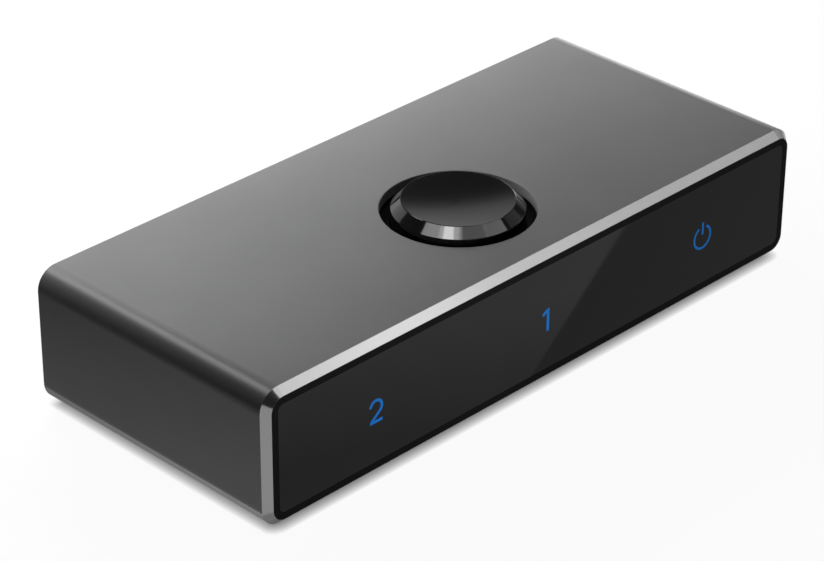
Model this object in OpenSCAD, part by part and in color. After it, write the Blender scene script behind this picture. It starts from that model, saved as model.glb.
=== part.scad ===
// Two-way video switch box: an extruded sleeve closed by a smoked front and a socket panel,
// with one round push button on top. Millimetres, +Z up, front towards -Y,
// origin on the floor under the middle of the sleeve.

/* [Sleeve] */
// Width of the sleeve
body_w = 100; // [94:1:130]
// Depth of the sleeve, front edge to rear edge
body_d = 42.5; // [41.5:0.5:60]
// Height of the sleeve without its feet
body_h = 19.7; // [18.9:0.1:26]
// Radius of the four long outer edges
body_r = 3; // [2.6:0.1:3.6]
// Wall thickness of the extrusion
wall = 1.4; // [1.25:0.05:1.8]
// Wall left at both mouths, where they are rebated for the end pieces
mouth_wall = 1.05; // [1.05:0.05:1.15]
// Bright chamfer cut round the front edge
front_chamfer = 1; // [0.4:0.1:1]
// Depth of the front rebate, which the front frame fills
front_rebate = 2.5; // [2.3:0.1:3.2]
// Depth of the rear rebate
rear_rebate = 2.3; // [2.2:0.1:3]
// How far the card rails stand in from the side walls
rail_depth = 2; // [1.5:0.1:3]
// Thickness of a card rail
rail_t = 1.2; // [0.8:0.1:1.4]
// Distance of the screw ports from the sleeve's outer faces
port_inset = 3.6; // [3.5:0.05:3.6]
// Outer radius of a screw port
port_r = 2; // [1.7:0.05:2]
// Width of the slit that opens each screw port
port_slit = 0.8; // [0.5:0.1:1]

/* [Feet] */
// Thickness of the rubber feet
foot_h = 0.6; // [0.4:0.1:3]
// Radius of the rubber feet
foot_r = 4; // [3:0.5:5]
// Rounding of a foot's lower edge
foot_round = 0.2; // [0.1:0.05:0.2]
// Distance of the feet from the sleeve's sides
foot_inset = 8.5; // [7:0.5:14]

/* [Button] */
// Distance from the front edge to the middle of the button
button_setback = 16.35; // [16:0.05:20]
// Radius of the hole in the top wall
hole_r = 10.5; // [10:0.1:11]
// Rounding of the hole's upper edge
hole_lip = 0.12; // [0.1:0.02:0.5]
// Open ring between the cap and the hole
button_gap = 1.5; // [1:0.1:1.8]
// Height of the cap's rim above the top of the sleeve
cap_rise = 1.5; // [1.3:0.1:2.4]
// Height of the bevel's lower edge above the top of the sleeve
bevel_low = 0.2; // [0:0.1:0.4]
// Width of the cap's bevel, seen from above
bevel_w = 1.35; // [0.8:0.05:1.8]
// Rounding of the cap's rim and of the bevel's lower edge
cap_round = 0.15; // [0.1:0.01:0.25]
// Depth of the dish in the cap
dish = 0.7; // [0.3:0.1:0.9]
// Thickness of the cap under the dish
cap_t = 1.4; // [1:0.1:1.8]
// Thickness of the cap's skirt
skirt_t = 1.3; // [0.9:0.1:1.5]
// How far the skirt reaches below its guide
skirt_tail = 0.8; // [0.3:0.1:1.5]
// Radius of the boss that takes the plunger
boss_r = 3.6; // [3.2:0.1:4.2]
// How far the button goes down
travel = 1.5; // [0.8:0.1:1.8]
// Lip of the guide ring that is bonded under the top wall
guide_lip = 2; // [1:0.1:2.2]
// Thickness of the guide ring's lip
guide_lip_t = 1.6; // [1.5:0.1:1.8]
// Depth of the guide's collar below the top wall
guide_depth = 3; // [2.2:0.1:3.4]
// Depth of the gap's floor below the underside of the top wall
guide_sink = 0.8; // [0.5:0.1:1]

/* [Front] */
// Width of the black rim round the window
bezel_w = 0.9; // [0.8:0.1:1.5]
// Thickness of the smoked window
window_t = 1.2; // [0.8:0.1:1.4]
// Distance between neighbouring sockets, and between neighbouring lamps
pitch = 31.3; // [30:0.1:32]
// Height of the lamps' middle above the sleeve's underside
lamp_lift = 9.5; // [9.2:0.1:10]
// Side of a light guide's nose
guide_nose = 5.6; // [4.8:0.1:6]
// Step of a light guide's flange round its nose
guide_step = 1; // [0.6:0.1:1.1]
// Thickness of a light guide's flange
guide_flange = 1; // [0.6:0.1:1]
// Width of the jaws that hold the board's front edge
jaw_w = 6; // [4:0.5:8]
// Length of the jaws behind the front frame
jaw_len = 2.8; // [2.2:0.1:4]
// Thickness of one jaw
jaw_t = 1.2; // [0.8:0.1:1.5]

/* [Board] */
// Height of the board's underside above the sleeve's underside
board_lift = 5.8; // [5.8:0.1:6.2]
// Thickness of the board
board_t = 1.2; // [1:0.1:1.6]
// Distance from the front frame to the board's front edge
board_front_gap = 1.2; // [1.2:0.1:1.6]
// Distance from the rear panel to the board's rear edge
board_rear_gap = 0.4; // [0.2:0.1:1]
// Side of the video switch chip
chip_w = 6.5; // [5:0.5:7]
// Height of the video switch chip
chip_h = 0.9; // [0.7:0.1:1.4]
// Width of the voltage regulator
regulator_w = 4; // [3:0.5:5]
// Depth of the voltage regulator
regulator_d = 3; // [2:0.5:5]
// Width of a surge array
array_w = 2.5; // [1.5:0.1:3.5]
// Depth of a surge array
array_d = 1; // [0.6:0.1:1.5]
// Height of a surge array
array_h = 0.6; // [0.4:0.1:1]
// Distance between the two surge arrays of a socket
array_step = 5.6; // [4:0.1:8]
// Distance from a surge array to the socket's contacts
array_gap = 0.6; // [0.3:0.1:1.2]
// Length of a capacitor
capacitor_w = 1; // [0.6:0.1:1.6]
// Depth and height of a capacitor
capacitor_d = 0.5; // [0.3:0.1:0.8]
// Distance between neighbouring capacitors
capacitor_step = 2; // [1.8:0.1:2.5]
// Width of a lamp
led_w = 3; // [2:0.1:4]
// Depth of a lamp's case
led_d = 0.6; // [0.4:0.1:1]
// Height of a lamp
led_h = 1.2; // [0.9:0.1:1.5]

/* [Push switch] */
// Side of the switch case
switch_w = 8.5; // [8:0.1:9]
// Height of the switch case
switch_h = 7; // [6.4:0.1:8]
// Wall of the switch case
switch_wall = 1.2; // [0.9:0.1:1.4]
// Side of the square plunger
plunger_w = 3.6; // [3:0.1:4]
// Step of the plunger's flange round its stem
plunger_step = 0.9; // [0.6:0.1:1]
// Thickness of the plunger's flange
plunger_flange = 1; // [0.7:0.1:1.2]
// Distance between the two rows of pins
pin_rows = 5; // [4:0.1:6]
// Distance between the pins of a row
pin_step = 2; // [1.8:0.1:2.5]
// Width of a pin
pin_w = 0.6; // [0.4:0.1:0.8]
// Thickness of a pin
pin_t = 0.4; // [0.2:0.1:0.5]
// How far the pins reach below the board
pin_below = 1.2; // [0.6:0.1:2]
// Wire diameter of the return spring
wire_d = 0.25; // [0.2:0.01:0.3]
// Mean radius of the return spring
spring_r = 1.3; // [1:0.1:1.6]
// Turns of the return spring
spring_turns = 4.5; // [3.5:0.5:4.5]

/* [Sockets] */
// Width of a socket's opening
socket_w = 14; // [13.9:0.05:14.4]
// Height of a socket's opening
socket_h = 4.55; // [4.5:0.05:4.8]
// Width of the slanting lower corners
corner_w = 1.5; // [1.2:0.1:2]
// Height of the slanting lower corners
corner_h = 1.9; // [1.4:0.1:2.2]
// Sheet thickness of a socket's shell
shell_t = 0.4; // [0.3:0.05:0.5]
// Length of a socket's shell
shell_len = 11.5; // [10.5:0.1:11.8]
// Width of a solder leg
leg_w = 1; // [0.8:0.1:1.4]
// How far the solder legs reach below the board
leg_below = 0.8; // [0.4:0.1:1.5]
// Distance from the socket's mouth to the front pair of legs
leg_front = 3.5; // [3.2:0.1:5]
// Distance between the front and the rear pair of legs
leg_step = 5.8; // [4:0.1:6]
// Width of a spring finger
finger_w = 1.8; // [1.2:0.1:2.2]
// Length of a spring finger
finger_len = 5; // [4:0.1:5.5]
// Thickness of a spring finger
finger_t = 0.25; // [0.15:0.05:0.3]
// How far a spring finger bends into the socket
finger_dip = 0.45; // [0.2:0.05:0.6]
// Slot round a spring finger
finger_slot = 0.35; // [0.2:0.05:0.5]
// Distance from the socket's mouth to the slots of the spring fingers
finger_setback = 1.6; // [1.2:0.1:2.5]
// Distance between the two spring fingers of a wall
finger_step = 6; // [5:0.1:7]
// Length of the insulator's block at the back of a socket
block_len = 3.2; // [2.5:0.1:4]
// Width of the tongue
tongue_w = 11.6; // [11:0.1:12]
// Thickness of the tongue
tongue_t = 0.9; // [0.8:0.05:1]
// Height of the tongue's underside above the opening's floor
tongue_lift = 2.05; // [1.9:0.05:2.2]
// Bevel on both sides of the tongue's tip
tongue_bevel = 0.25; // [0.1:0.05:0.35]
// Distance from the socket's mouth to the tongue's tip
tongue_setback = 1.2; // [0.8:0.1:2]
// Width of a contact
contact_w = 0.3; // [0.2:0.05:0.35]
// Thickness of a contact
contact_t = 0.12; // [0.08:0.01:0.15]
// Distance between neighbouring contacts of one row
contact_pitch = 1; // [0.95:0.01:1]
// Contacts on top of the tongue, one more than below it
contact_count = 10; // [8:1:10]

/* [Rear panel and screws] */
// Thickness of the rear panel
panel_t = 2; // [1.6:0.1:2.1]
// How far the socket's mouth lies inside the panel's outer face
mouth_setback = 0.2; // [0:0.1:0.6]
// Radius of a screw's shank
screw_r = 1; // [0.8:0.05:1.1]
// Radius of a screw's head
screw_head_r = 1.9; // [1.6:0.05:1.9]
// Width of the cross slot in a screw's head
screw_slot_w = 0.5; // [0.3:0.1:0.7]
// Depth of the cross slot in a screw's head
screw_slot_d = 0.6; // [0.3:0.1:0.7]
// Length of a screw
screw_len = 8; // [5:0.5:12]

/* [Clearances] */
// Gap round a piece that is bonded or pressed into its seat
fit = 0.05; // [0.03:0.01:0.06]
// Gap round a piece that slides
slip = 0.15; // [0.1:0.01:0.2]
// Gap round a piece that passes through a hole without touching
pass = 0.25; // [0.15:0.05:0.3]

/* [Hidden] */
$fn = 64;
// Overlap of cutting shapes past the faces that they cut
over = 0.5;

LAMPS = ["2", "1", "power"];
SOCKETS = ["2", "1", "common"];
CORNERS = ["front_left", "front_right", "rear_left", "rear_right"];

// Heights
bottom_z = foot_h;
top_z = foot_h + body_h;
floor_z = bottom_z + wall;
ceiling_z = top_z - wall;
middle_z = bottom_z + body_h / 2;
lamp_z = bottom_z + lamp_lift;
board_z = bottom_z + board_lift;
board_top = board_z + board_t;

// Places along the depth
front_y = -body_d / 2;
rear_y = body_d / 2;
frame_back_y = front_y + front_rebate;
window_back_y = front_y + window_t;
board_front_y = frame_back_y + board_front_gap;
panel_in_y = rear_y - rear_rebate;
panel_out_y = panel_in_y + panel_t;
board_rear_y = panel_in_y - board_rear_gap;
mouth_y = panel_out_y - mouth_setback;
shell_back_y = mouth_y - shell_len;
block_front_y = shell_back_y + block_len;
button_y = front_y + button_setback;

// Button, from the top down
cap_r = hole_r - button_gap;
rim_r = cap_r - bevel_w;
rim_z = top_z + cap_rise;
bevel_z = top_z + bevel_low;
dish_r = (rim_r * rim_r + dish * dish) / (2 * dish);
cap_under_z = rim_z - dish - cap_t;
skirt_in_r = cap_r - skirt_t;
guide_bottom_z = ceiling_z - guide_depth;
skirt_bottom_z = guide_bottom_z - skirt_tail;
guide_r = hole_r + guide_lip;
collar_r = cap_r + slip + skirt_t;

// Push switch, from the board up
switch_top_z = board_top + switch_h;
chamber_w = switch_w - 2 * switch_wall;
chamber_floor_z = board_top + switch_wall;
chamber_top_z = switch_top_z - switch_wall;
flange_w = plunger_w + 2 * plunger_step;
flange_top_z = chamber_top_z - slip;
flange_z = flange_top_z - plunger_flange;
plunger_top_z = cap_under_z - fit;
boss_z = switch_top_z + travel + 2 * slip;
spring_bottom_z = chamber_floor_z + fit + wire_d / 2;
spring_top_z = flange_z - fit - wire_d / 2;

// Board and what stands on it
board_w = body_w - 2 * wall - 2 * pass;
switch_rear_y = button_y + switch_w / 2;
parts_y = (switch_rear_y + shell_back_y) / 2;
contact_heel_y = shell_back_y - contact_t;
contact_foot_y = contact_heel_y - leg_w;
array_y = contact_foot_y - array_gap - array_d / 2;

// Inside of a socket
socket_z = board_top + shell_t;
tongue_z = socket_z + tongue_lift;
tongue_top_z = tongue_z + tongue_t;
tongue_tip_y = mouth_y - tongue_setback;
contact_tip_y = tongue_tip_y - tongue_setback / 2;

// A countersunk head falls in by as much as it narrows
screw_head_h = screw_head_r - screw_r;

// Rectangle with round corners, in the middle of its plane
module rounded_rect(w, h, r) {
    square([w - 2 * r, h], center = true);
    square([w, h - 2 * r], center = true);
    for (x = [-1, 1], y = [-1, 1])
        translate([x * (w / 2 - r), y * (h / 2 - r)])
            circle(r);
}

// Outline of the sleeve, moved in by an inset on every side
module sleeve_outline(inset) {
    rounded_rect(body_w - 2 * inset, body_h - 2 * inset, body_r - inset);
}

// Turns a flat drawing of width and height into a solid between two depths
module along_depth(y0, y1, z = middle_z) {
    translate([0, y1, z])
        rotate([90, 0, 0])
            linear_extrude(y1 - y0)
                children();
}

// Turns a flat drawing of depth and height into a solid, w wide and centred on x
module across_width(x, w) {
    translate([x - w / 2, 0, 0])
        rotate([90, 0, 90])
            linear_extrude(w)
                children();
}

// Block between two heights, centred on x and y
module post(x, y, w, d, z0, z1) {
    translate([x - w / 2, y - d / 2, z0])
        cube([w, d, z1 - z0]);
}

// Repeats its children at the four screw ports, seen from the front
module at_ports() {
    for (x = [-1, 1], z = [-1, 1])
        translate([x * (body_w / 2 - port_inset), 0, z * (body_h / 2 - port_inset)])
            children();
}

// Six points of a socket's opening, grown by t on every side, with the floor at height 0
function socket_points(t) =
    let (
        slope = norm([corner_w, corner_h]),
        side_x = socket_w / 2 + t,
        side_z = corner_h - t * (slope - corner_h) / corner_w,
        base_x = socket_w / 2 - corner_w + t * (slope - corner_w) / corner_h
    )
    [
        [-side_x, socket_h + t], [side_x, socket_h + t], [side_x, side_z],
        [base_x, -t], [-base_x, -t], [-side_x, side_z]
    ];

// Drawing of one screw port in the corner towards +x and +z, before its hole
module port_outline() {
    intersection() {
        sleeve_outline(0);
        translate([body_w / 2 - port_inset, body_h / 2 - port_inset]) {
            circle(port_r);
            square(port_inset);
        }
    }
}

// Hole and slit of one screw port in the corner towards +x and +z
module port_hole() {
    translate([body_w / 2 - port_inset, body_h / 2 - port_inset]) {
        circle(screw_r + fit);
        rotate(225)
            translate([0, -port_slit / 2])
                square([port_r + over, port_slit]);
    }
}

// Card rails on the right-hand wall, one under and one over the board
module rail_outline() {
    rail_x = body_w / 2 - wall - rail_depth;
    for (z = [board_lift - fit - rail_t, board_lift + board_t + slip])
        translate([rail_x, z - body_h / 2])
            square([rail_depth + wall / 2, rail_t]);
}

// The extrusion's whole section
module sleeve_section() {
    difference() {
        union() {
            difference() {
                sleeve_outline(0);
                sleeve_outline(wall);
            }
            for (x = [0, 1]) mirror([x, 0]) {
                rail_outline();
                for (z = [0, 1]) mirror([0, z]) port_outline();
            }
        }
        for (x = [0, 1], z = [0, 1])
            mirror([x, 0])
                mirror([0, z])
                    port_hole();
    }
}

// One quarter of the wedge that is cut away round the front edge
module chamfer_quarter() {
    run_x = body_w / 2 - body_r;
    run_z = body_h / 2 - body_r;
    near = -front_chamfer - over;
    wedge = [[near, -over], [over, front_chamfer + over], [over, -over]];
    translate([0, 0, body_h / 2])
        rotate([90, 0, 90])
            linear_extrude(run_x)
                polygon([for (p = wedge) [p[1], p[0]]]);
    translate([body_w / 2, 0, 0])
        linear_extrude(run_z)
            polygon(wedge);
    translate([run_x, 0, run_z])
        rotate([-90, -90, 0])
            rotate_extrude(angle = 90)
                polygon([for (p = wedge) p + [body_r, 0]]);
}

// Ring that rounds the upper edge of the button's hole
module hole_lip_cut() {
    translate([0, button_y, top_z - hole_lip])
        rotate_extrude()
            difference() {
                translate([hole_r - over, 0])
                    square([hole_lip + over, hole_lip + over]);
                translate([hole_r + hole_lip, 0])
                    circle(hole_lip);
            }
}

module housing_sleeve() {
    color("dimgray")
        difference() {
            along_depth(front_y, rear_y) sleeve_section();
            along_depth(front_y - over, frame_back_y) sleeve_outline(mouth_wall);
            along_depth(panel_in_y, rear_y + over) sleeve_outline(mouth_wall);
            translate([0, button_y, ceiling_z - over])
                cylinder(r = hole_r, h = wall + 2 * over);
            hole_lip_cut();
            translate([0, front_y, middle_z])
                for (x = [0, 1], z = [0, 1])
                    mirror([x, 0, 0])
                        mirror([0, 0, z])
                            chamfer_quarter();
        }
}

// Jaws on the back of the front frame that take the board's front edge
module board_jaw(x) {
    across_width(x, jaw_w)
        difference() {
            translate([frame_back_y - over, board_z - jaw_t])
                square([jaw_len + over, board_t + 2 * jaw_t]);
            translate([board_front_y - slip, board_z - slip])
                square([jaw_len, board_t + 2 * slip]);
        }
}

module front_frame() {
    rim = mouth_wall + fit;
    color("black")
        difference() {
            union() {
                along_depth(front_y, frame_back_y) sleeve_outline(rim);
                for (x = [-pitch / 2, pitch / 2]) board_jaw(x);
            }
            along_depth(front_y - over, window_back_y) sleeve_outline(rim + bezel_w);
            for (i = [0:len(LAMPS) - 1])
                along_depth(window_back_y - over, frame_back_y + over, lamp_z)
                    translate([lamp_x(i), 0])
                        square(guide_nose + 2 * fit, center = true);
        }
}

module front_window() {
    color([0.1, 0.1, 0.11])
        along_depth(front_y, window_back_y)
            sleeve_outline(mouth_wall + bezel_w + 2 * fit);
}

// Lamps and sockets share their places across the width
function lamp_x(i) = (i - (len(LAMPS) - 1) / 2) * pitch;

// Clear guide: its nose fills the frame's hole and its flange is bonded behind the frame
module light_guide(i) {
    color("aliceblue")
        translate([lamp_x(i), 0, 0]) {
            along_depth(window_back_y, frame_back_y + guide_flange, lamp_z)
                square(guide_nose, center = true);
            along_depth(frame_back_y, frame_back_y + guide_flange, lamp_z)
                square(guide_nose + 2 * guide_step, center = true);
        }
}

// Side-looking lamp with a half-round lens towards the light guide
module indicator_lamp(i) {
    lens_r = led_h / 2 - 2 * fit;
    color("white")
        translate([lamp_x(i), board_front_y + lens_r, 0]) {
            post(0, led_d / 2, led_w, led_d, board_top, board_top + led_h);
            translate([-led_w / 2 + lens_r, 0, board_top + led_h / 2])
                rotate([0, 90, 0])
                    cylinder(r = lens_r, h = led_w - 2 * lens_r);
        }
}

module rear_panel() {
    color([0.08, 0.08, 0.08])
        difference() {
            along_depth(panel_in_y, panel_out_y) sleeve_outline(mouth_wall + fit);
            for (i = [0:len(SOCKETS) - 1])
                along_depth(panel_in_y - over, panel_out_y + over, socket_z)
                    translate([lamp_x(i), 0])
                        polygon(socket_points(shell_t + pass));
            translate([0, panel_out_y, middle_z])
                at_ports()
                    rotate([90, 0, 0]) {
                        translate([0, 0, -over])
                            cylinder(r = screw_r + pass, h = panel_t + 2 * over);
                        cylinder(r1 = screw_head_r + fit, r2 = screw_r + fit, h = screw_head_h);
                        translate([0, 0, -over])
                            cylinder(r = screw_head_r + fit, h = over);
                    }
        }
}

// Cross-slotted countersunk screw with its head at height 0, pointing along +z
module screw() {
    difference() {
        union() {
            cylinder(r1 = screw_head_r, r2 = screw_r, h = screw_head_h);
            cylinder(r = screw_r, h = screw_len);
        }
        for (a = [0, 90])
            rotate(a)
                translate([-screw_r, -screw_slot_w / 2, -over])
                    cube([2 * screw_r, screw_slot_w, screw_slot_d + over]);
    }
}

module rear_screws() {
    color("silver")
        translate([0, panel_out_y, middle_z])
            at_ports()
                rotate([90, 0, 0])
                    screw();
}

// Half section of the cap: dished top, slanting bevel, skirt and the boss for the plunger
module cap_section() {
    // Direction up the bevel, and the one that points straight out of it
    bevel_run = [rim_r - cap_r, rim_z - bevel_z];
    up = bevel_run / norm(bevel_run);
    out = [up[1], -up[0]];
    // The lower rounding touches the skirt and the bevel
    corner = [cap_r, bevel_z];
    low = corner - cap_round * (out + [1, 0]) / (1 + out[0]);
    // The upper rounding touches the bevel and the dish
    dish_middle = [0, rim_z - dish + dish_r];
    start = corner - cap_round * out - dish_middle;
    along = start * up;
    climb = -along - sqrt(along * along - start * start + pow(dish_r + cap_round, 2));
    high = dish_middle + start + climb * up;
    dish_edge = high + cap_round * (dish_middle - high) / (dish_r + cap_round);
    difference() {
        polygon([
            [0, boss_z], [boss_r, boss_z], [boss_r, cap_under_z], [skirt_in_r, cap_under_z],
            [skirt_in_r, skirt_bottom_z], [cap_r, skirt_bottom_z], low + [cap_round, 0],
            low + cap_round * out, high + cap_round * out, dish_edge, [0, rim_z]
        ]);
        translate(dish_middle)
            circle(dish_r, $fn = 256);
    }
    for (middle = [low, high])
        translate(middle)
            circle(cap_round);
}

module button_cap() {
    color([0.05, 0.05, 0.05])
        translate([0, button_y, 0])
            difference() {
                rotate_extrude() cap_section();
                post(0, 0, plunger_w + 2 * fit, plunger_w + 2 * fit, boss_z - over, cap_under_z);
            }
}

// Ring bonded under the top wall, which closes the gap and guides the skirt
module button_guide() {
    bore = cap_r + slip;
    color("black")
        translate([0, button_y, 0])
            rotate_extrude()
                polygon([
                    [bore, guide_bottom_z], [collar_r, guide_bottom_z],
                    [collar_r, ceiling_z - guide_lip_t], [guide_r, ceiling_z - guide_lip_t],
                    [guide_r, ceiling_z], [hole_r + fit, ceiling_z],
                    [hole_r + fit, ceiling_z - guide_sink], [bore, ceiling_z - guide_sink]
                ]);
}

module switch_plunger() {
    color("whitesmoke") {
        post(0, button_y, plunger_w, plunger_w, flange_z, plunger_top_z);
        post(0, button_y, flange_w, flange_w, flange_z, flange_top_z);
    }
}

module switch_case() {
    hole_w = plunger_w + 2 * slip;
    color([0.15, 0.15, 0.16])
        difference() {
            post(0, button_y, switch_w, switch_w, board_top, switch_top_z);
            post(0, button_y, chamber_w, chamber_w, chamber_floor_z, chamber_top_z);
            post(0, button_y, hole_w, hole_w, chamber_top_z - over, switch_top_z + over);
        }
}

// Places of the switch's two rows of pins
function pin_places() = [
    for (x = [-1, 1], y = [-1, 0, 1]) [x * pin_rows / 2, button_y + y * pin_step]
];

module switch_pins() {
    color("silver")
        for (p = pin_places())
            post(p[0], p[1], pin_w, pin_t, board_z - pin_below, board_top);
}

// One ring of points round the spring's wire at turn t
function spring_ring(t, sides = 6) =
    let (
        a = 360 * t * spring_turns,
        z = spring_bottom_z + t * (spring_top_z - spring_bottom_z)
    )
    [
        for (k = [0:sides - 1])
            let (r = spring_r + wire_d / 2 * cos(360 * k / sides))
            [r * cos(a), button_y + r * sin(a), z + wire_d / 2 * sin(360 * k / sides)]
    ];

module switch_spring() {
    sides = 6;
    rings = ceil(spring_turns * 12);
    last = rings * sides;
    points = [for (j = [0:rings]) each spring_ring(j / rings, sides)];
    walls = [
        for (j = [0:rings - 1], k = [0:sides - 1])
            let (a = j * sides + k, b = j * sides + (k + 1) % sides)
            each [[a, a + sides, b + sides], [a, b + sides, b]]
    ];
    start = [for (k = [1:sides - 2]) [0, k, k + 1]];
    end = [for (k = [1:sides - 2]) [last, last + k + 1, last + k]];
    echo(spring_gap = (spring_top_z - spring_bottom_z) / spring_turns - wire_d);
    color("lightsteelblue")
        polyhedron(points = points, faces = concat(walls, start, end));
}

// Solder legs of one socket shell, as places on the board
function leg_places(i) = [
    for (x = [-1, 1], y = [0, leg_step])
        [lamp_x(i) + x * (socket_w + shell_t) / 2, mouth_y - leg_front - y]
];

module main_board() {
    leg_hole_r = norm([leg_w, shell_t]) / 2 + slip;
    pin_hole_r = norm([pin_w, pin_t]) / 2 + slip;
    color("darkgreen")
        difference() {
            post(0, (board_front_y + board_rear_y) / 2, board_w, board_rear_y - board_front_y,
                board_z, board_top);
            for (i = [0:len(SOCKETS) - 1], p = leg_places(i))
                translate([p[0], p[1], board_z - over])
                    cylinder(r = leg_hole_r, h = board_t + 2 * over);
            for (p = pin_places())
                translate([p[0], p[1], board_z - over])
                    cylinder(r = pin_hole_r, h = board_t + 2 * over);
        }
}

module video_chip() {
    color([0.1, 0.1, 0.1])
        post(pitch / 2, parts_y, chip_w, chip_w, board_top, board_top + chip_h);
}

module regulator() {
    color([0.12, 0.12, 0.12])
        post(-pitch / 2, parts_y, regulator_w, regulator_d, board_top, board_top + chip_h);
}

// Surge arrays, two behind each socket
module surge_arrays() {
    color([0.1, 0.1, 0.1])
        for (i = [0:len(SOCKETS) - 1], x = [-1, 1])
            post(lamp_x(i) + x * array_step / 2, array_y, array_w, array_d,
                board_top, board_top + array_h);
}

// Small capacitors in two rows beside the chip
module capacitors() {
    row_y = chip_w / 2 + capacitor_d;
    color("tan")
        for (k = [-1.5:1:1.5], y = [-row_y, row_y])
            post(pitch / 2 + k * capacitor_step, parts_y + y, capacitor_w, capacitor_d,
                board_top, board_top + capacitor_d);
}

// Repeats its children at the spring fingers of one wall, and again upside down for the other wall
module at_fingers(i) {
    for (x = [-1, 1], flip = [0, 1])
        translate([lamp_x(i) + x * finger_step / 2, 0, socket_z + socket_h / 2])
            mirror([0, 0, flip])
                children();
}

// Slot that frees one spring finger from the wall above it
module finger_slot_cut() {
    slot_w = finger_w + 2 * finger_slot;
    slot_len = finger_len + finger_slot;
    translate([-slot_w / 2, mouth_y - finger_setback - slot_len, socket_h / 2 - over])
        cube([slot_w, slot_len, shell_t + 2 * over]);
}

// Spring finger: rooted at the back of its slot, bent into the socket and up again at its tip
module finger() {
    root_y = mouth_y - finger_setback - finger_slot - finger_len;
    knee_y = root_y + finger_len * 2 / 3;
    tip_y = root_y + finger_len;
    wall_z = socket_h / 2;
    line = [[root_y - finger_slot, wall_z], [knee_y, wall_z - finger_dip], [tip_y, wall_z - finger_dip / 3]];
    across_width(0, finger_w)
        polygon([
            line[0], line[1], line[2],
            line[2] + [0, finger_t], line[1] + [0, finger_t], line[0] + [0, finger_t]
        ]);
}

module socket_shell(i) {
    color("silver") {
        difference() {
            along_depth(shell_back_y, mouth_y, socket_z)
                translate([lamp_x(i), 0])
                    difference() {
                        polygon(socket_points(shell_t));
                        polygon(socket_points(0));
                    }
            at_fingers(i) finger_slot_cut();
        }
        at_fingers(i) finger();
        for (p = leg_places(i))
            post(p[0], p[1], shell_t, leg_w, board_z - leg_below, socket_z + socket_h / 2);
    }
}

// Place of contact k on a row, counted from its middle
function contact_x(k, count) = (k - (count - 1) / 2) * contact_pitch;

// Repeats its children at every contact of the upper row or of the lower row
module at_contacts(upper) {
    count = upper ? contact_count : contact_count - 1;
    for (k = [0:count - 1])
        across_width(contact_x(k, count), contact_w)
            children();
}

// Side view of one contact: along the tongue, out at the back and down to the board
module contact_outline(strip_z) {
    outer_y = contact_heel_y - contact_t;
    polygon([
        [contact_tip_y, strip_z], [contact_tip_y, strip_z + contact_t],
        [outer_y, strip_z + contact_t], [outer_y, board_top + contact_t],
        [contact_foot_y, board_top + contact_t], [contact_foot_y, board_top],
        [contact_heel_y, board_top], [contact_heel_y, strip_z]
    ]);
}

module socket_contacts(i) {
    color("gold")
        translate([lamp_x(i), 0, 0]) {
            at_contacts(true) contact_outline(tongue_top_z);
            at_contacts(false) contact_outline(tongue_z - contact_t);
        }
}

// Slot in the insulator's block for one row of contacts
module contact_slots(upper) {
    count = upper ? contact_count : contact_count - 1;
    low_z = upper ? tongue_top_z : tongue_z - contact_t - fit;
    for (k = [0:count - 1])
        post(contact_x(k, count), shell_back_y + block_len / 2, contact_w + 2 * fit,
            block_len + 2 * over, low_z, low_z + contact_t + fit);
}

// Side view of the tongue, narrower at its tip
module tongue_outline() {
    bevel_y = tongue_tip_y - tongue_bevel;
    polygon([
        [shell_back_y, tongue_z], [bevel_y, tongue_z], [tongue_tip_y, tongue_z + tongue_bevel],
        [tongue_tip_y, tongue_top_z - tongue_bevel], [bevel_y, tongue_top_z], [shell_back_y, tongue_top_z]
    ]);
}

module socket_tongue(i) {
    color([0.1, 0.1, 0.1])
        translate([lamp_x(i), 0, 0]) {
            difference() {
                along_depth(shell_back_y, block_front_y, socket_z)
                    polygon(socket_points(-fit));
                contact_slots(true);
                contact_slots(false);
            }
            across_width(0, tongue_w) tongue_outline();
        }
}

// Half section of a foot
module foot_section() {
    square([foot_r - foot_round, foot_h]);
    translate([0, foot_round])
        square([foot_r, foot_h - foot_round]);
    translate([foot_r - foot_round, foot_round])
        circle(foot_round);
}

module rubber_foot(i) {
    side_x = i % 2 == 0 ? -1 : 1;
    side_y = i < 2 ? -1 : 1;
    color([0.13, 0.13, 0.13])
        translate([side_x * (body_w / 2 - foot_inset), side_y * (body_d / 2 - foot_inset), 0])
            rotate_extrude() foot_section();
}

housing_sleeve();
front_frame();
front_window();
rear_panel();
rear_screws();
button_cap();
button_guide();
switch_plunger();
switch_spring();
switch_case();
switch_pins();
main_board();
video_chip();
regulator();
surge_arrays();
capacitors();
for (i = [0:len(LAMPS) - 1]) {
    light_guide(i);
    indicator_lamp(i);
}
for (i = [0:len(SOCKETS) - 1]) {
    socket_shell(i);
    socket_tongue(i);
    socket_contacts(i);
}
for (i = [0:len(CORNERS) - 1])
    rubber_foot(i);
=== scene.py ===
"""Looks of the switch box: a finish for every solid, the lit symbols, the studio and the camera."""

import math

import bmesh
import bpy
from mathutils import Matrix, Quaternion, Vector


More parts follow.
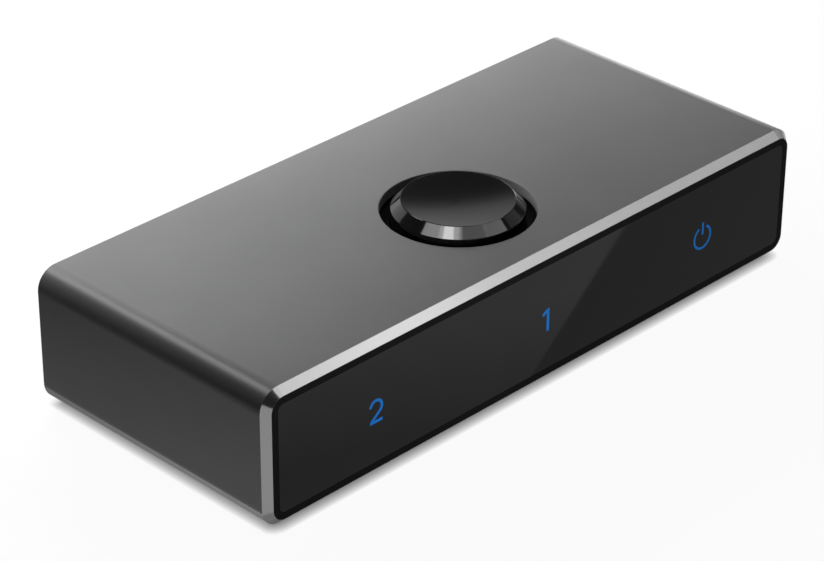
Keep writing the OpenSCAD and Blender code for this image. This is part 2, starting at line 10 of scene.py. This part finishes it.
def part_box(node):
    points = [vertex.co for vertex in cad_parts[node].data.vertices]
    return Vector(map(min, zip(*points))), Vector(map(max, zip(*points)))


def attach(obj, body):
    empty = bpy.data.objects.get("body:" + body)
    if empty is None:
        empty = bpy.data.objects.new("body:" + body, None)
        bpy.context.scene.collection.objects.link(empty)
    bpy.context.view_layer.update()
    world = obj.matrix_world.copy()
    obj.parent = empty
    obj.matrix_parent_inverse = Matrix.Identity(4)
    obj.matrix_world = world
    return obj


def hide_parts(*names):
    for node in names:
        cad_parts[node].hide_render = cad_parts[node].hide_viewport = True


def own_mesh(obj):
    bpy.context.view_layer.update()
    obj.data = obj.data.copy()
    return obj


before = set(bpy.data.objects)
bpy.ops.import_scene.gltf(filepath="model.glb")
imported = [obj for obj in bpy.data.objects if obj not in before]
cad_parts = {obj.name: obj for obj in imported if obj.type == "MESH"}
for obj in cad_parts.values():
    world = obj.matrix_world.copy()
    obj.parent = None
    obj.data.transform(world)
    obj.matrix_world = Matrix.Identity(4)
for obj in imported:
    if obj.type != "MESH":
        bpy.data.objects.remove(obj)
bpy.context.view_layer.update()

MM = 0.001
LAMPS = ("2", "1", "power")
SOCKETS = ("2", "1", "common")
FEET = ("front_left", "front_right", "rear_left", "rear_right")

# Camera, from the straight edges of the photograph, in degrees and millimetres of film
CAMERA_PLACE = Vector((-256.93, -249.38, 214.78)) * MM
CAMERA_YAW = 45.447
CAMERA_PITCH = 30.098
CAMERA_ROLL = 0.2465
CAMERA_LENS = 133.99
CAMERA_SENSOR = 36

# Sleeve: its dye, a paler tone that paints light on the hole's wall, and the slots and places of the
# faces that have a finish of their own
DARK = (0.143, 0.143, 0.143)
BORE_PAINTED_LIGHT = (0.24, 0.24, 0.24)
CHAMFER_SLOT = 1
# The long lower edges' slot holds a painted highlight in brighter metal
LOWER_EDGE_SLOT = 2
BORE_SLOT = 3
CHAMFER_DEPTH = 2 * MM
EDGE_DEPTH = 2.5 * MM
BORE_REACH = 1.5

# Symbols on the window: widths of their strokes, brightness, depth and colour
STROKES = {"2": 0.42 * MM, "1": 0.46 * MM, "power": 0.35 * MM}
BRIGHTNESS = {"2": 1.0, "1": 1.0, "power": 0.8}
SYMBOL_PROUD = 0.02 * MM
SYMBOL_SUNK = 0.03 * MM
BLUE = (0.007, 0.118, 0.4)

# Room: azimuth and elevation of a glow on the backdrop, and its grey at angles from there
GLOW_CENTRE = (34.5, 5)
GLOW = [
    (0, 0.55), (18, 0.55), (22, 0.46), (25, 0.28), (29, 0.13),
    (33, 0.085), (60, 0.08), (110, 0.06), (180, 0.05),
]
BOX_MIDDLE = Vector((0, 0, 10 * MM))

# Floor: a round sheet that sweeps up into a low wall
FLOOR_HALF = 2.0
FLOOR_SIDES = 96
WALL_HEIGHT = 0.26
SWEEP_RADIUS = 0.2
SWEEP_STEPS = 12

# Floor's colours: what it throws back on the box, and what the eye sees
FLOOR_BOUNCE = (0.12, 0.12, 0.12)
FLOOR_LIT = (0.9, 0.9, 0.9)

# Plain white on the floor: its share near the box, and from where to where it takes over
FLOOR_PLAIN = 0.95
FLOOR_NEAR = 0.2
FLOOR_FAR = 0.6

# Reach of the thin shadow where the box meets the floor
CONTACT_REACH = 1.4 * MM

# Floor as polish mirrors it: white that fades to the rear left and far out on the right
FADE_WAY = (-0.6, 0.8, 0)
FADE_START = 25 * MM
FADE_END = 101 * MM
FADE_LAST = 0.02
RIGHT_WAY = (0.94, -0.34, 0)
RIGHT_START = 1.25
RIGHT_END = 1.6
RIGHT_LAST = 0.25

# In front of the window: white up to a slanting edge, less beside it and close to the box
GLARE_WAY = (0.42, 0.908, 0)
GLARE_EDGE = -21.5 * MM
GLARE_BLUR = 0.4 * MM
GLARE_BESIDE = 0.5
NEAR_WAY = (0.25, -0.97, 0)
NEAR_START = 20 * MM
NEAR_END = 40 * MM
NEAR_FIRST = 0.62

# Where that floor ends, under the box's front and to its left
FRONT_START = -20 * MM
FRONT_END = -18 * MM
LEFT_START = 50 * MM
LEFT_END = 52 * MM


def new_material(name):
    """A node material, its tree and its shader."""
    material = bpy.data.materials.new(name)
    material.use_nodes = True
    tree = material.node_tree
    return material, tree, tree.nodes["Principled BSDF"]


def grain(tree, size, stretch=(1, 1, 1), detail=3.0):
    """Noise of the given grain size over the object's own coordinates."""
    place = tree.nodes.new("ShaderNodeTexCoord")
    mapping = tree.nodes.new("ShaderNodeMapping")
    mapping.inputs["Scale"].default_value = [s / size for s in stretch]
    noise = tree.nodes.new("ShaderNodeTexNoise")
    noise.inputs["Scale"].default_value = 1.0
    noise.inputs["Detail"].default_value = detail
    tree.links.new(place.outputs["Object"], mapping.inputs["Vector"])
    tree.links.new(mapping.outputs["Vector"], noise.inputs["Vector"])
    return noise.outputs["Fac"]


def vary(tree, height, socket, low, high):
    """Lets a socket run from low to high with a height."""
    spread = tree.nodes.new("ShaderNodeMapRange")
    spread.inputs["From Min"].default_value = 0.25
    spread.inputs["From Max"].default_value = 0.75
    spread.inputs["To Min"].default_value = low
    spread.inputs["To Max"].default_value = high
    tree.links.new(height, spread.inputs["Value"])
    tree.links.new(spread.outputs["Result"], socket)


def tint(tree, height, socket, dark, light):
    """Lets a colour socket run from dark to light with a height."""
    ramp = tree.nodes.new("ShaderNodeValToRGB")
    ramp.color_ramp.elements[0].position = 0.3
    ramp.color_ramp.elements[0].color = (*dark, 1)
    ramp.color_ramp.elements[1].position = 0.7
    ramp.color_ramp.elements[1].color = (*light, 1)
    tree.links.new(height, ramp.inputs["Fac"])
    tree.links.new(ramp.outputs["Color"], socket)


def bump(tree, height, shader, depth, strength=1.0):
    """Raises the surface by a height, depth metres from valley to crest."""
    node = tree.nodes.new("ShaderNodeBump")
    node.inputs["Strength"].default_value = strength
    node.inputs["Distance"].default_value = depth
    tree.links.new(height, node.inputs["Height"])
    tree.links.new(node.outputs["Normal"], shader.inputs["Normal"])


def shade(color, share):
    """A colour made lighter or darker by a share."""
    return tuple(c * share for c in color)


def anodised(name, tone):
    """Bead-blasted aluminium in a grey tone: its dye, or on the hole's wall a paler tone that paints
    light on it.
    """
    material, tree, shader = new_material(name)
    shader.inputs["Specular IOR Level"].default_value = 0.33
    blast = grain(tree, 0.12 * MM)
    tint(tree, grain(tree, 9 * MM), shader.inputs["Base Color"], shade(tone, 0.97), shade(tone, 1.03))
    vary(tree, blast, shader.inputs["Roughness"], 0.3, 0.38)
    bump(tree, blast, shader, 0.002 * MM, 0.4)
    return material


def cut_edge():
    """Bare aluminium, left by the cutter that chamfers the front edge."""
    material, tree, shader = new_material("cut_edge")
    shader.inputs["Metallic"].default_value = 1.0
    lines = grain(tree, 0.05 * MM, stretch=(0.02, 1, 1))
    tint(tree, lines, shader.inputs["Base Color"], (0.205, 0.205, 0.205), (0.245, 0.245, 0.245))
    vary(tree, lines, shader.inputs["Roughness"], 0.13, 0.18)
    bump(tree, lines, shader, 0.001 * MM, 0.3)
    return material


def lower_edge_highlight():
    """Long lower edges in brighter metal than the dye: a painted highlight, which mirrors the floor more
    strongly.
    """
    material, tree, shader = new_material("lower_edge_highlight")
    shader.inputs["Metallic"].default_value = 1.0
    shader.inputs["Specular Tint"].default_value = (0.5, 0.5, 0.5, 1)
    edge_grain = grain(tree, 0.4 * MM, stretch=(1, 0.15, 1))
    tint(tree, edge_grain, shader.inputs["Base Color"], (0.21, 0.21, 0.21), (0.25, 0.25, 0.25))
    vary(tree, edge_grain, shader.inputs["Roughness"], 0.28, 0.36)
    bump(tree, edge_grain, shader, 0.001 * MM, 0.3)
    return material


def moulded(name, color, rough, pore=0.08 * MM, depth=0.003 * MM, reflect=0.5):
    """Moulded plastic with a fine eroded texture."""
    material, tree, shader = new_material(name)
    shader.inputs["Specular IOR Level"].default_value = reflect
    texture = grain(tree, pore)
    tint(tree, texture, shader.inputs["Base Color"], shade(color, 0.85), shade(color, 1.15))
    vary(tree, texture, shader.inputs["Roughness"], rough - 0.06, rough + 0.06)
    bump(tree, texture, shader, depth, 0.5)
    return material


def polished(name, color, rough, reflect):
    """Polished dark plastic, with the faint unevenness of a polished tool."""
    material, tree, shader = new_material(name)
    shader.inputs["Specular IOR Level"].default_value = reflect
    wave = grain(tree, 3 * MM, detail=1.0)
    tint(tree, wave, shader.inputs["Base Color"], shade(color, 0.92), shade(color, 1.08))
    vary(tree, wave, shader.inputs["Roughness"], rough * 0.85, rough * 1.15)
    return material


def metal(name, color, rough, stretch=(1, 1, 1)):
    """Plated sheet or wire with fine drawing marks."""
    material, tree, shader = new_material(name)
    shader.inputs["Metallic"].default_value = 1.0
    marks = grain(tree, 0.1 * MM, stretch)
    tint(tree, marks, shader.inputs["Base Color"], shade(color, 0.9), color)
    vary(tree, marks, shader.inputs["Roughness"], rough - 0.06, rough + 0.06)
    bump(tree, marks, shader, 0.001 * MM, 0.4)
    return material


def clear():
    """Frosted clear plastic of the light guides."""
    material, tree, shader = new_material("frosted_clear")
    shader.inputs["Transmission Weight"].default_value = 0.9
    frost = grain(tree, 0.1 * MM)
    tint(tree, frost, shader.inputs["Base Color"], (0.8, 0.86, 0.9), (0.9, 0.94, 0.97))
    vary(tree, frost, shader.inputs["Roughness"], 0.25, 0.4)
    return material


def board():
    """Green solder mask over copper tracks."""
    material, tree, shader = new_material("board")
    tracks = grain(tree, 1.5 * MM, stretch=(1, 0.12, 1), detail=0.0)
    tint(tree, tracks, shader.inputs["Base Color"], (0.006, 0.06, 0.025), (0.012, 0.13, 0.05))
    shader.inputs["Roughness"].default_value = 0.3
    bump(tree, tracks, shader, 0.03 * MM, 0.5)
    return material


def glow(name, brightness):
    """Light of a lamp, seen through a symbol in the window's mask."""
    material, tree, shader = new_material(f"light_{name}")
    shader.inputs["Base Color"].default_value = (0.002, 0.01, 0.03, 1)
    shader.inputs["Specular IOR Level"].default_value = 0.05
    shader.inputs["Roughness"].default_value = 0.3
    shader.inputs["Emission Color"].default_value = (*BLUE, 1)
    spots = grain(tree, 2.5 * MM, detail=1.0)
    vary(tree, spots, shader.inputs["Emission Strength"], 0.9 * brightness, 1.1 * brightness)
    return material


def dress(node, *materials):
    """Puts materials on a solid."""
    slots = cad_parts[node].data.materials
    slots.clear()
    for material in materials:
        slots.append(material)


def mark_sleeve_faces():
    """Gives the sleeve's front chamfer, long lower edges and hole their own materials."""
    low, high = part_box("housing_sleeve")
    cap_low, cap_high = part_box("button_cap")
    middle = (cap_low + cap_high) / 2
    reach = BORE_REACH * (cap_high.x - middle.x)
    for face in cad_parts["housing_sleeve"].data.polygons:
        normal, centre = face.normal, face.center
        # Which way the face looks, by the parts of its unit normal
        slanting = 0.5 < -normal.y < 0.9 and normal.z > -0.4
        outward = abs(normal.x) > 0.3 and normal.z < -0.1
        upright = abs(normal.z) < 0.3
        # Chamfer faces that look down are left out of the cut finish: painted shade where they mirror
        # the floor's shadow
        if slanting and centre.y < low.y + CHAMFER_DEPTH:
            face.material_index = CHAMFER_SLOT
        # Long lower edges: painted highlight in brighter metal
        elif outward and abs(centre.x) > high.x - EDGE_DEPTH:
            face.material_index = LOWER_EDGE_SLOT
        # Hole's wall: painted light, a paler tone where the wall is lit
        elif upright and (centre - middle).xy.length < reach:
            face.material_index = BORE_SLOT


def dress_all():
    """Puts a finish on every solid."""
    # The hole's wall gets a paler tone: painted light
    outside, bore = anodised("anodised", DARK), anodised("bore", BORE_PAINTED_LIGHT)
    # Long lower edges: painted highlight in brighter metal
    dress("housing_sleeve", outside, cut_edge(), lower_edge_highlight(), bore)
    mark_sleeve_faces()
    dress("rear_panel", moulded("black_plastic", (0.006, 0.006, 0.0065), 0.45))
    matt = moulded("matt_black", (0.005, 0.005, 0.0054), 0.5, reflect=0.05)
    for node in ("front_frame", "button_guide"):
        dress(node, matt)
    dress("front_window", polished("smoked", (0.006, 0.006, 0.0065), 0.06, 0.16))
    dress("button_cap", polished("gloss_black", (0.004, 0.004, 0.0042), 0.08, 0.5))
    steel = metal("plated_steel", (0.6, 0.6, 0.6), 0.3)
    for node in ("rear_screws", "switch_spring", "switch_pins"):
        dress(node, steel)
    dress("switch_plunger", moulded("white_plastic", (0.75, 0.75, 0.73), 0.45))
    chip = moulded("chip_black", (0.012, 0.012, 0.013), 0.55)
    for node in ("switch_case", "video_chip", "regulator", "surge_arrays"):
        dress(node, chip)
    dress("main_board", board())
    dress("capacitors", moulded("capacitor_tan", (0.42, 0.3, 0.18), 0.5))
    guide = clear()
    lamp = moulded("lamp_white", (0.8, 0.8, 0.76), 0.25)
    for name in LAMPS:
        dress(f"light_guide_{name}", guide)
        dress(f"indicator_lamp_{name}", lamp)
    nickel = metal("shell_nickel", (0.63, 0.61, 0.57), 0.26, stretch=(1, 0.1, 1))
    insulator = moulded("tongue_black", (0.01, 0.01, 0.011), 0.5)
    gold = metal("contact_gold", (0.86, 0.62, 0.26), 0.25, stretch=(1, 0.1, 1))
    for name in SOCKETS:
        dress(f"socket_shell_{name}", nickel)
        dress(f"socket_tongue_{name}", insulator)
        dress(f"socket_contacts_{name}", gold)
    rubber = moulded("rubber", (0.012, 0.012, 0.012), 0.75, pore=0.15 * MM, depth=0.01 * MM)
    for name in FEET:
        dress(f"rubber_foot_{name}", rubber)


def arc(x, z, radius, start, end, steps=20):
    """Points of an arc, by angles in degrees from +X."""
    angles = [math.radians(start + (end - start) * k / steps) for k in range(steps + 1)]
    return [Vector((x + radius * math.cos(a), z + radius * math.sin(a))) for a in angles]


def sides(line, width):
    """Points left and right of a line, mitred where it bends."""
    left, right = [], []
    for k, point in enumerate(line):
        before = (point - line[k - 1]).normalized() if k > 0 else None
        after = (line[k + 1] - point).normalized() if k + 1 < len(line) else before
        before = before or after
        middle = (before + after).normalized()
        across = Vector((-middle.y, middle.x)) * width / 2 / middle.dot(after)
        left.append(point + across)
        right.append(point - across)
    return left, right


def symbol(name, centre, lines, stroke):
    """Flat strokes on the window, from lines in millimetres round the symbol's middle."""
    shape = bmesh.new()
    for line in lines:
        left, right = sides([point * MM for point in line], stroke)
        rows = []
        for depth in (-SYMBOL_PROUD, SYMBOL_SUNK):
            for side in (left, right):
                rows.append([shape.verts.new(centre + Vector((p.x, depth, p.y))) for p in side])
        loop = [rows[0], rows[2], rows[3], rows[1]]
        for one, two in zip(loop, loop[1:] + loop[:1]):
            for k in range(len(one) - 1):
                shape.faces.new((one[k], two[k], two[k + 1], one[k + 1]))
        for end in (0, -1):
            shape.faces.new([row[end] for row in loop])
    bmesh.ops.recalc_face_normals(shape, faces=shape.faces)
    mesh = bpy.data.meshes.new(name)
    shape.to_mesh(mesh)
    shape.free()
    piece = bpy.data.objects.new(name, mesh)
    bpy.context.scene.collection.objects.link(piece)
    return piece


def symbol_lines():
    """Strokes of the two figures and of the power symbol, in millimetres."""
    two = arc(-0.15, 0.62, 1.0, 172, -38) + [Vector((-1.0, -1.32))]
    foot = [Vector((-1.2, -1.45)), Vector((0.95, -1.45))]
    flag = [Vector((-0.95, 0.95)), Vector((0.0, 1.5))]
    stem = [Vector((0.05, 1.68)), Vector((0.05, -1.68))]
    ring = arc(-0.05, -0.08, 1.68, 118, 422, 40)
    bar = [Vector((-0.05, 2.2)), Vector((-0.05, 0.35))]
    return {"2": [two, foot], "1": [flag, stem], "power": [ring, bar]}


def make_symbols():
    """Lit symbols on the window, each in front of its light guide."""
    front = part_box("front_window")[0].y
    for name, lines in symbol_lines().items():
        low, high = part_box(f"light_guide_{name}")
        middle = (low + high) / 2
        piece = symbol(f"symbol_{name}", Vector((middle.x, front, middle.z)), lines, STROKES[name])
        piece.data.materials.append(glow(name, BRIGHTNESS[name]))
        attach(piece, "housing")


def make_spring():
    """Copy of the return spring with a mesh of its own, in place of the rigid one."""
    spring = bpy.data.objects.new("return_spring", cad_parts["switch_spring"].data.copy())
    bpy.context.scene.collection.objects.link(spring)
    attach(spring, "housing")
    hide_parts("switch_spring")
    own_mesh(spring)


def join(tree, operation, one, two):
    """A sum, product or the like of two outputs."""
    node = tree.nodes.new("ShaderNodeMath")
    node.operation = operation
    tree.links.new(one, node.inputs[0])
    tree.links.new(two, node.inputs[1])
    return node.outputs["Value"]


def mix_shaders(tree, share, one, two):
    """The share's mix of two shaders."""
    node = tree.nodes.new("ShaderNodeMixShader")
    tree.links.new(share, node.inputs["Fac"])
    tree.links.new(one, node.inputs[1])
    tree.links.new(two, node.inputs[2])
    return node.outputs["Shader"]


def slope(tree, place, way, start, end, first, last):
    """A value that runs from first to last between two distances along a direction."""
    along = tree.nodes.new("ShaderNodeVectorMath")
    along.operation = "DOT_PRODUCT"
    along.inputs[1].default_value = way
    tree.links.new(place.outputs["Object"], along.inputs[0])
    run = tree.nodes.new("ShaderNodeMapRange")
    run.inputs["From Min"].default_value = start
    run.inputs["From Max"].default_value = end
    run.inputs["To Min"].default_value = first
    run.inputs["To Max"].default_value = last
    tree.links.new(along.outputs["Value"], run.inputs["Value"])
    return run.outputs["Result"]


def mix_values(tree, share, one, two):
    """The share's mix of two values."""
    node = tree.nodes.new("ShaderNodeMix")
    tree.links.new(share, node.inputs["Factor"])
    tree.links.new(one, node.inputs["A"])
    tree.links.new(two, node.inputs["B"])
    return node.outputs["Result"]


def floor_shine(tree, place):
    """How bright the floor is where polish mirrors it."""
    fade = slope(tree, place, FADE_WAY, FADE_START, FADE_END, 1.0, FADE_LAST)
    right = slope(tree, place, RIGHT_WAY, RIGHT_START, RIGHT_END, 1.0, RIGHT_LAST)
    glare = slope(tree, place, GLARE_WAY, GLARE_EDGE - GLARE_BLUR, GLARE_EDGE + GLARE_BLUR, 1.0, 0.0)
    near = slope(tree, place, NEAR_WAY, NEAR_START, NEAR_END, NEAR_FIRST, 1.0)
    beside = slope(tree, place, (0, 1, 0), FRONT_START, FRONT_END, GLARE_BESIDE, 1.0)
    left = slope(tree, place, (-1, 0, 0), LEFT_START, LEFT_END, 0.0, 1.0)
    shine = join(tree, "MAXIMUM", join(tree, "MULTIPLY", glare, near), beside)
    shine = join(tree, "MAXIMUM", shine, left)
    return join(tree, "MULTIPLY", shine, join(tree, "MULTIPLY", fade, right))


def pale_material():
    """Floor with the box's shadow near it, plain white further out and in reflections."""
    material, tree, shader = new_material("pale_floor")
    shader.inputs["Base Color"].default_value = (*FLOOR_BOUNCE, 1)
    shader.inputs["Roughness"].default_value = 0.9
    shader.inputs["Specular IOR Level"].default_value = 0.0
    lit = tree.nodes.new("ShaderNodeBsdfDiffuse")
    lit.inputs["Color"].default_value = (*FLOOR_LIT, 1)
    white = tree.nodes.new("ShaderNodeEmission")
    contact = tree.nodes.new("ShaderNodeAmbientOcclusion")
    contact.inputs["Distance"].default_value = CONTACT_REACH
    path = tree.nodes.new("ShaderNodeLightPath")
    place = tree.nodes.new("ShaderNodeTexCoord")
    reach = tree.nodes.new("ShaderNodeVectorMath")
    reach.operation = "LENGTH"
    tree.links.new(place.outputs["Object"], reach.inputs[0])
    far = tree.nodes.new("ShaderNodeMapRange")
    far.inputs["From Min"].default_value = FLOOR_NEAR
    far.inputs["From Max"].default_value = FLOOR_FAR
    far.inputs["To Min"].default_value = FLOOR_PLAIN
    tree.links.new(reach.outputs["Value"], far.inputs["Value"])
    shine = floor_shine(tree, place)
    eye = path.outputs["Is Camera Ray"]
    mirrored = join(tree, "MAXIMUM", path.outputs["Is Glossy Ray"], path.outputs["Is Transmission Ray"])
    tree.links.new(mix_values(tree, eye, shine, contact.outputs["AO"]), white.inputs["Strength"])
    plain = join(tree, "MULTIPLY", eye, far.outputs["Result"])
    plain = join(tree, "MAXIMUM", plain, mirrored)
    soft = mix_shaders(tree, eye, shader.outputs["BSDF"], lit.outputs["BSDF"])
    whole = mix_shaders(tree, plain, soft, white.outputs["Emission"])
    tree.links.new(whole, tree.nodes["Material Output"].inputs["Surface"])
    return material


def make_floor():
    """Floor that sweeps up into a low wall all round."""
    outline = [(0.0, 0.0), (FLOOR_HALF - SWEEP_RADIUS, 0.0)]
    for k in range(1, SWEEP_STEPS + 1):
        a = math.radians(90 * k / SWEEP_STEPS)
        run = FLOOR_HALF - SWEEP_RADIUS + SWEEP_RADIUS * math.sin(a)
        outline.append((run, SWEEP_RADIUS * (1 - math.cos(a))))
    outline.append((FLOOR_HALF, WALL_HEIGHT))
    shape = bmesh.new()
    line = [shape.verts.new((r, 0, z)) for r, z in outline]
    edges = [shape.edges.new(pair) for pair in zip(line, line[1:])]
    bmesh.ops.spin(
        shape, geom=line + edges, axis=(0, 0, 1), cent=(0, 0, 0),
        angle=2 * math.pi, steps=FLOOR_SIDES, use_merge=True,
    )
    bmesh.ops.remove_doubles(shape, verts=shape.verts, dist=1e-6)
    mesh = bpy.data.meshes.new("floor")
    shape.to_mesh(mesh)
    shape.free()
    mesh.polygons.foreach_set("use_smooth", [True] * len(mesh.polygons))
    floor = bpy.data.objects.new("floor", mesh)
    bpy.context.scene.collection.objects.link(floor)
    mesh.materials.append(pale_material())


def direction(azimuth, elevation):
    """Unit vector by angles in degrees, azimuth 0 behind the box and 90 to its right."""
    turn, rise = math.radians(azimuth), math.radians(elevation)
    level = Vector((math.sin(turn), math.cos(turn), 0)) * math.cos(rise)
    return level + Vector((0, 0, math.sin(rise)))


def area_lamp(name, place, aim, width, height, radiance, turn=0):
    """A rectangular lamp at a place, that shines along a direction."""
    lamp = bpy.data.lights.new(name, "AREA")
    lamp.shape = "RECTANGLE"
    lamp.size = width
    lamp.size_y = height
    lamp.energy = radiance * 4 * width * height
    holder = bpy.data.objects.new(name, lamp)
    holder.location = place
    holder.rotation_mode = "QUATERNION"
    holder.rotation_quaternion = aim.to_track_quat("-Z", "Y") @ Quaternion((0, 0, 1), math.radians(turn))
    bpy.context.scene.collection.objects.link(holder)
    return holder


def reflector(name, azimuth, elevation, distance, width, height, radiance, turn=0):
    """A lamp that shows in the box's polish alone, by its direction in degrees and sizes in metres."""
    towards = direction(azimuth, elevation)
    place = BOX_MIDDLE + towards * distance
    area_lamp(name, place, -towards, width, height, radiance, turn).visible_diffuse = False


def softbox(name, place, aim, width, height, radiance, spread=180):
    """A lamp close to the box, in millimetres, which gives it soft light alone."""
    holder = area_lamp(name, Vector(place) * MM, Vector(aim), width * MM, height * MM, radiance)
    holder.data.spread = math.radians(spread)
    holder.visible_glossy = False


def make_world():
    """Dim room with a soft glow on the backdrop behind the box, to its right."""
    world = bpy.data.worlds.new("studio")
    bpy.context.scene.world = world
    world.use_nodes = True
    tree = world.node_tree
    way = tree.nodes.new("ShaderNodeTexCoord")
    nearness = tree.nodes.new("ShaderNodeVectorMath")
    nearness.operation = "DOT_PRODUCT"
    nearness.inputs[1].default_value = direction(*GLOW_CENTRE)
    tree.links.new(way.outputs["Generated"], nearness.inputs[0])
    half = tree.nodes.new("ShaderNodeMapRange")
    half.inputs["From Min"].default_value = -1
    tree.links.new(nearness.outputs["Value"], half.inputs["Value"])
    ramp = tree.nodes.new("ShaderNodeValToRGB")
    stops = ramp.color_ramp.elements
    while len(stops) < len(GLOW):
        stops.new(1.0)
    for stop, (angle, grey) in zip(stops, reversed(GLOW)):
        stop.position = (1 + math.cos(math.radians(angle))) / 2
        stop.color = (grey, grey, grey, 1)
    tree.links.new(half.outputs["Result"], ramp.inputs["Fac"])
    tree.links.new(ramp.outputs["Color"], tree.nodes["Background"].inputs["Color"])


def make_lights():
    """Soft light on the box, and the cards that its edges and polish mirror."""
    # Soft light from the rear, and a beam on the left end of the top
    softbox("strip", (23, 90, 75), (0, -0.087, -0.996), 159, 33.5, 19.7)
    softbox("beam", (39, -30, 110), (-109, 38, -89.7), 40, 40, 1.08, 36.7)
    # Bright spots in the bevel of the button
    reflector("key", -111, 62, 0.55, 0.115, 0.09, 5.8)
    reflector("key_wide", -115.7, 63, 0.55, 0.262, 0.12, 1.9)
    reflector("key_side", -93, 62, 0.55, 0.46, 0.15, 4.0)
    # Front chamfer, and the right half of the bevel
    reflector("overhead", 147, 44, 0.6, 0.325, 0.22, 1.73)
    reflector("overhead_end", 124.6, 32.5, 0.6, 0.1, 0.04, 1.73, -38)
    reflector("overhead_spot", 134.3, 38.4, 0.6, 0.05, 0.036, 1.68, -30)
    reflector("overhead_side", -172.4, 60, 0.6, 0.332, 0.24, 1.3)
    # Upper left edge
    reflector("rear_left", -3, 15, 0.45, 0.31, 0.22, 0.74)
    reflector("band", -13, 51, 0.8, 0.3, 0.18, 6.3)
    # Upper right edge, and the right end of the chamfer
    reflector("right", 80, 60, 0.5, 0.3, 0.3, 1.7)
    reflector("edge", 63, 7.3, 0.16, 0.045, 0.03, 2.3)
    reflector("side", 108, 27, 0.6, 0.24, 0.18, 0.25)
    reflector("corner", 109.5, 13, 0.1145, 0.038, 0.028, 0.58)


def make_camera():
    """Camera at the photograph's viewpoint."""
    yaw, pitch, roll = (math.radians(a) for a in (CAMERA_YAW, CAMERA_PITCH, CAMERA_ROLL))
    level = Vector((math.sin(yaw), math.cos(yaw), 0))
    forward = level * math.cos(pitch) - Vector((0, 0, math.sin(pitch)))
    camera = bpy.data.cameras.new("camera")
    camera.sensor_width = CAMERA_SENSOR
    camera.lens = CAMERA_LENS
    holder = bpy.data.objects.new("camera", camera)
    holder.location = CAMERA_PLACE
    holder.rotation_mode = "QUATERNION"
    turn = forward.to_track_quat("-Z", "Y")
    holder.rotation_quaternion = turn @ Quaternion((0, 0, 1), roll)
    bpy.context.scene.collection.objects.link(holder)
    bpy.context.scene.camera = holder


make_camera()
dress_all()
make_symbols()
make_spring()
make_floor()
make_world()
make_lights()
bpy.context.scene.view_settings.view_transform = "Standard"
